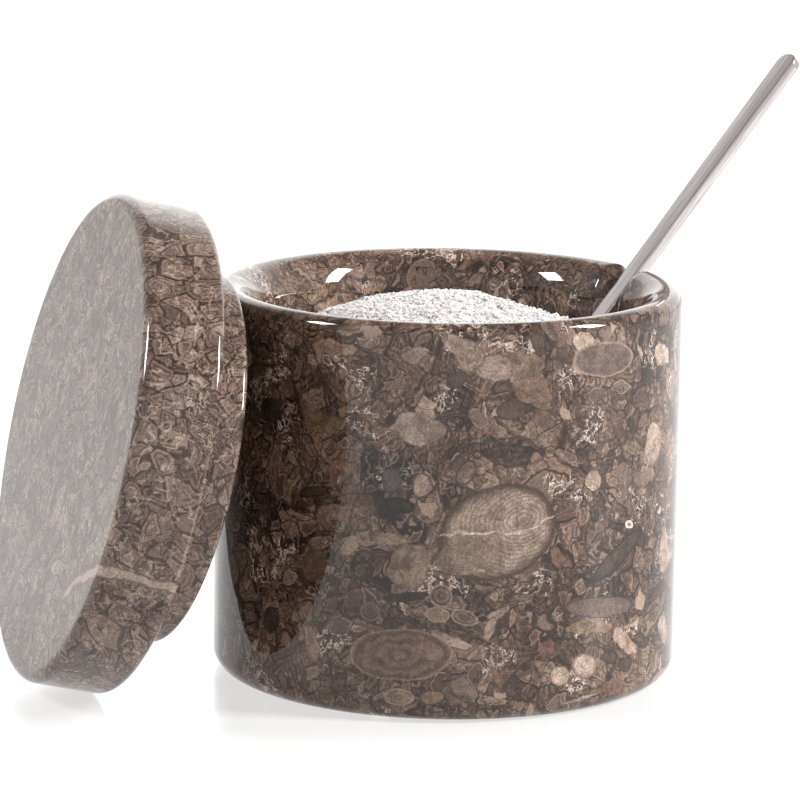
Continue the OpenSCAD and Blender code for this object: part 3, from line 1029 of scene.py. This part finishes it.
inputs = {"Vector": after(tree, torn, colour), "Scale": 1 / 3, "Detail": 5.0, "Roughness": 0.65}
mottle = node(tree, "MapRange", node(tree, "TexNoise", inputs), 0.66, 0.34, 1, 0, **SMOOTH)
colour = lay_fossils(tree, colour, torn, mottle, TORN_FOSSILS, depth=4.5, cover=0.75)
calm = warped(tree, after(tree, where, colour), 5, 0.45, seed=9.0, detail=3.0)
colour = lay_fossils(tree, colour, calm, mottle, SMOOTH_FOSSILS, depth=6.0, cover=0.92)
colour = lay_fossils(tree, colour, torn, mottle, CRACKS, depth=4.5, cover=0.6)
polished(tree, shader, where, colour, grain)
print(pot_stone.name, "has", len(tree.nodes), "nodes")

# %% [markdown]
# ## The stone of the lid
# The lid is packed with small shells that lie more or less one way. A pale band crosses it
# near its lower edge: a crack filled with calcite, so it is a thin flat sheet in space, dark
# at its borders, that fades out at both ends.

# %% The stone of the lid
LID_STOPS = [
    (0.04, "#2a211c"), (0.22, "#443731"), (0.38, "#594a42"),
    (0.54, "#6b5b52"), (0.7, "#7d6e63"), (0.9, "#978a7e"),
]
lid_stone, tree, shader, where, soft, bent, torn, grain = stone_base(
    "polished_fossil_limestone_lid", seed=5.0,
)
colour = mud(tree, where, soft, torn, grain, LID_STOPS)[0]
colour = shell_bed(
    tree, colour, soft, grain, sizes=(11, 4.2, 5), turn=(35, 30, 60),
    rings=6, keep=0.9, stops=LID_STOPS, seed=3.0,
)
colour = shell_bed(
    tree, colour, soft, grain, sizes=(6.5, 2.6, 3.2), turn=(20, 45, 70),
    rings=4, keep=0.4, stops=LID_STOPS, seed=7.0,
)
colour = wisps(tree, colour, bent, size=6, count=7, sharpness=8, colour="#b5a99d", strength=0.45)
colour = shell_bed(
    tree, colour, torn, grain, sizes=(3, 1.2, 1.6), turn=(60, 15, 100),
    rings=3, keep=0.2, stops=LID_STOPS, seed=5.0,
)
colour = wisps(tree, colour, bent, size=9, count=6, sharpness=8, colour="#2a201b", strength=0.5)
colour = lace(tree, colour, torn, size=2.2, count=4, colour="#b9aea2", strength=0.5)

BAND_ACROSS = (0.18, 0.535, 0.826)
BAND_PLACE = (-65.8, -67.8, 34.8)
BAND_HALF = 1.1
BAND_ENDS = (20, 27)
aside = node(tree, "VectorMath", after(tree, bent, colour), BAND_PLACE, operation="SUBTRACT")
away = node(tree, "VectorMath", aside, BAND_ACROSS, out="Value", operation="DOT_PRODUCT")
away = node(tree, "Math", away, operation="ABSOLUTE")
near = node(tree, "VectorMath", aside, out="Value", operation="LENGTH")
near = node(tree, "MapRange", near, *BAND_ENDS, 1, 0, **SMOOTH)
for start, stop, tone in (
    (BAND_HALF, BAND_HALF + 0.3, "#5d4f46"), (BAND_HALF * 0.5, BAND_HALF, "#94857a"),
):
    share = node(tree, "MapRange", away, start, stop, 1, 0, **SMOOTH)
    share = node(tree, "Math", share, near, operation="MULTIPLY")
    colour = node(tree, "Mix", {0: share, 6: colour, 7: tone}, **COLOURS)
polished(tree, shader, where, colour, grain)
print(lid_stone.name, "has", len(tree.nodes), "nodes")

# %% [markdown]
# ## Steel
# The spoon is stainless steel, polished by machine. Polishing leaves hairlines along the
# handle, too fine to see one by one, so they are drawn as coarse as they need to show. They
# vary the tone and the roughness a little, and soften the reflections.

# %% The steel of the spoon
HAIR_SIZES = (40, 0.4, 0.4)
STEEL_TONES = ("#ada5a3", "#cec7c5")
steel, tree, shader, where = new_material("polished_stainless_steel")
spoon_turn = (0, -SPOON_RISE, SLOT_AZ)
along = node(tree, "Mapping", where, CENTRE, spoon_turn, HAIR_SIZES, **LOCAL)
hair = node(tree, "TexNoise", {"Vector": along, "Scale": 3.0, "Detail": 4.0})
tone = node(tree, "MapRange", hair, 0.6, 0.4, 1, 0, **SMOOTH)
bump = node(tree, "Bump", {"Height": hair, "Strength": 0.2, "Distance": 0.03 * MM})
fill(tree, shader, {
    "Base Color": node(tree, "Mix", {0: tone, 6: STEEL_TONES[0], 7: STEEL_TONES[1]}, **COLOURS),
    "Metallic": 1, "Roughness": weighed(tree, 0.06, (hair, 0.16)), "Normal": bump,
})
print(steel.name, "has", len(tree.nodes), "nodes")

# %% [markdown]
# ## Salt crystals
# Salt crystals are clear, but a heap of them scatters light and looks white. Subsurface
# scattering lets light pass from grain to grain, and a bump of small facets gives the grains
# their broken faces.

# %% The salt
FACET = 0.9
SALT_IOR = 1.544
SALT_TONES = ("#cdc6c4", "#e2dcda")
salt_crystals, tree, shader, where = new_material("sea_salt_crystals")
facets = node(
    tree, "TexVoronoi", {"Vector": where, "Scale": 1 / FACET, "Randomness": 1.0}, out=None,
)
tone = node(tree, "SeparateColor", facets.outputs["Color"])
height = facets.outputs["Distance"]
fill(tree, shader, {
    "Base Color": node(tree, "Mix", {0: tone, 6: SALT_TONES[0], 7: SALT_TONES[1]}, **COLOURS),
    "Roughness": 0.45, "IOR": SALT_IOR,
    "Subsurface Weight": 1.0, "Subsurface Radius": (1, 1, 1), "Subsurface Scale": 1.6 * MM,
    "Normal": node(tree, "Bump", {"Height": height, "Strength": 0.3, "Distance": 0.4 * MM}),
})
print(salt_crystals.name, "has", len(tree.nodes), "nodes")

# %% [markdown]
# ## Pieces, bodies and nodes
# Each piece gets its material, rides on an empty named after its body in the construction
# model, and says which node it stands for, whose part is hidden. The heap and its grains are both
# the salt.

# %% Give each piece its material and its body, and hide the part it stands for
DRESSED = [
    (pot, pot_stone, "pot", "pot", "pot_stone"),
    (lid, lid_stone, "lid", "lid", "lid_stone"),
    (spoon, steel, "spoon", "spoon", "spoon_steel"),
    (salt, salt_crystals, "pot", "salt", "salt"),
    (grains, salt_crystals, "pot", "salt", "salt"),
]
for piece, material, body, replaced, finish_slot in DRESSED:
    piece.data.materials.clear()
    piece.data.materials.append(material)
    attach(piece, body)
    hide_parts(replaced)
    print(piece.name, "rides on", body, "and stands for", replaced)

# %% [markdown]
# ## The table
# The object stands on a white glossy table. Its gloss mirrors the foot of the pot and the
# lid, and is duller farther out. A glow of its own keeps it white under the plain light that
# suits the stone, and the soft shadows stay.

# %% The table
TABLE_SIZE = 6
TABLE_GLOW = 0.64
NEAR_POT, FAR_FROM_POT = 60, 130
bpy.ops.object.select_all(action="DESELECT")
bpy.ops.mesh.primitive_plane_add(size=TABLE_SIZE)
table = bpy.context.object
table.name = "table"
table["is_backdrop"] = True
white, tree, shader, where = new_material("white_acrylic_table")
from_axis = node(tree, "VectorMath", where, out="Value", operation="LENGTH")
close = node(tree, "MapRange", from_axis, NEAR_POT, FAR_FROM_POT, 1, 0, **SMOOTH)
fill(tree, shader, {
    "Base Color": "#979797", "Emission Color": "#ffffff", "Emission Strength": TABLE_GLOW,
    "IOR": 1.4, "Roughness": weighed(tree, 0.38, (close, -0.24)),
})
table.data.materials.append(white)
print("table:", TABLE_SIZE, "m wide")

# %% [markdown]
# ## The room
# The room is white and lights the object from all around, at a plain level, and the camera
# sees it pure white. What polished surfaces mirror depends on the direction: the walls are
# brighter than the ceiling, and the back wall is the brightest, because the table mirrors it
# towards the camera. Its left end isn't, because the lid's face mirrors that.

# %% The white room
ROOM_LIGHT = 0.32
CEILING = 0.5
LOW_GAIN = 0.5
BACK_GAIN = 1.0
world = bpy.data.worlds.new("white room")
bpy.context.scene.world = world
world.use_nodes = True
tree = world.node_tree
path = node(tree, "LightPath", out=None).outputs
way = node(tree, "SeparateXYZ", node(tree, "TexCoord", out="Generated"), out=None).outputs
low = node(tree, "MapRange", way[2], 0.5, 0.72, 1, 0, **SMOOTH)
back = node(tree, "MapRange", way[1], 0.85, 0.5, 1, 0, **SMOOTH)
not_left = node(tree, "MapRange", way[0], -0.36, -0.5, 1, 0, **SMOOTH)
low_back = node(tree, "Math", low, back, operation="MULTIPLY")
low_back = node(tree, "Math", low_back, not_left, operation="MULTIPLY")
mirrored = weighed(tree, CEILING, (low, LOW_GAIN), (low_back, BACK_GAIN))
strength = node(tree, "Mix", {0: path["Is Glossy Ray"], 2: ROOM_LIGHT, 3: mirrored})
strength = node(tree, "Mix", {0: path["Is Camera Ray"], 2: strength, 3: 1.0})
fill(tree, tree.nodes["Background"], {"Color": "#ffffff", "Strength": strength})
print("room: strength", ROOM_LIGHT, "on the object")

# %% [markdown]
# ## Soft boxes
# Two soft boxes stand high up on the right and the left, the right one the brighter. Their
# reflections are the white bars on the rim and the plug.

# %% Two soft boxes
AIM = Vector((0, 0, POT_H * 0.7))


def soft_box(name, azimuth, elevation, distance, width, height, power):
    """A rectangular soft box that faces the pot from an azimuth and an elevation in degrees."""
    a, e = math.radians(azimuth), math.radians(elevation)
    out = Vector((math.cos(e) * math.cos(a), math.cos(e) * math.sin(a), math.sin(e)))
    bpy.ops.object.light_add(type="AREA", location=AIM + out * distance)
    lamp = bpy.context.object
    lamp.name = name
    lamp.data.shape = "RECTANGLE"
    lamp.data.size = width
    lamp.data.size_y = height
    lamp.data.energy = power
    lamp.rotation_euler = (-out).to_track_quat("-Z", "Y").to_euler()
    print(name, "has", power, "watts")


soft_box("right soft box", -11, 33, distance=1.2, width=0.2, height=0.48, power=23)
soft_box("left soft box", -164, 37, distance=1.2, width=0.22, height=0.3, power=8.5)
bpy.context.scene.view_settings.view_transform = "Standard"

# %% Gather both boxes and finish
made_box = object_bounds()
sizes = {"cad": [list(c) for c in cad_box], "visual": [list(c) for c in made_box]}
print("dressed box, mm:", [[round(v / MM, 1) for v in corner] for corner in made_box])
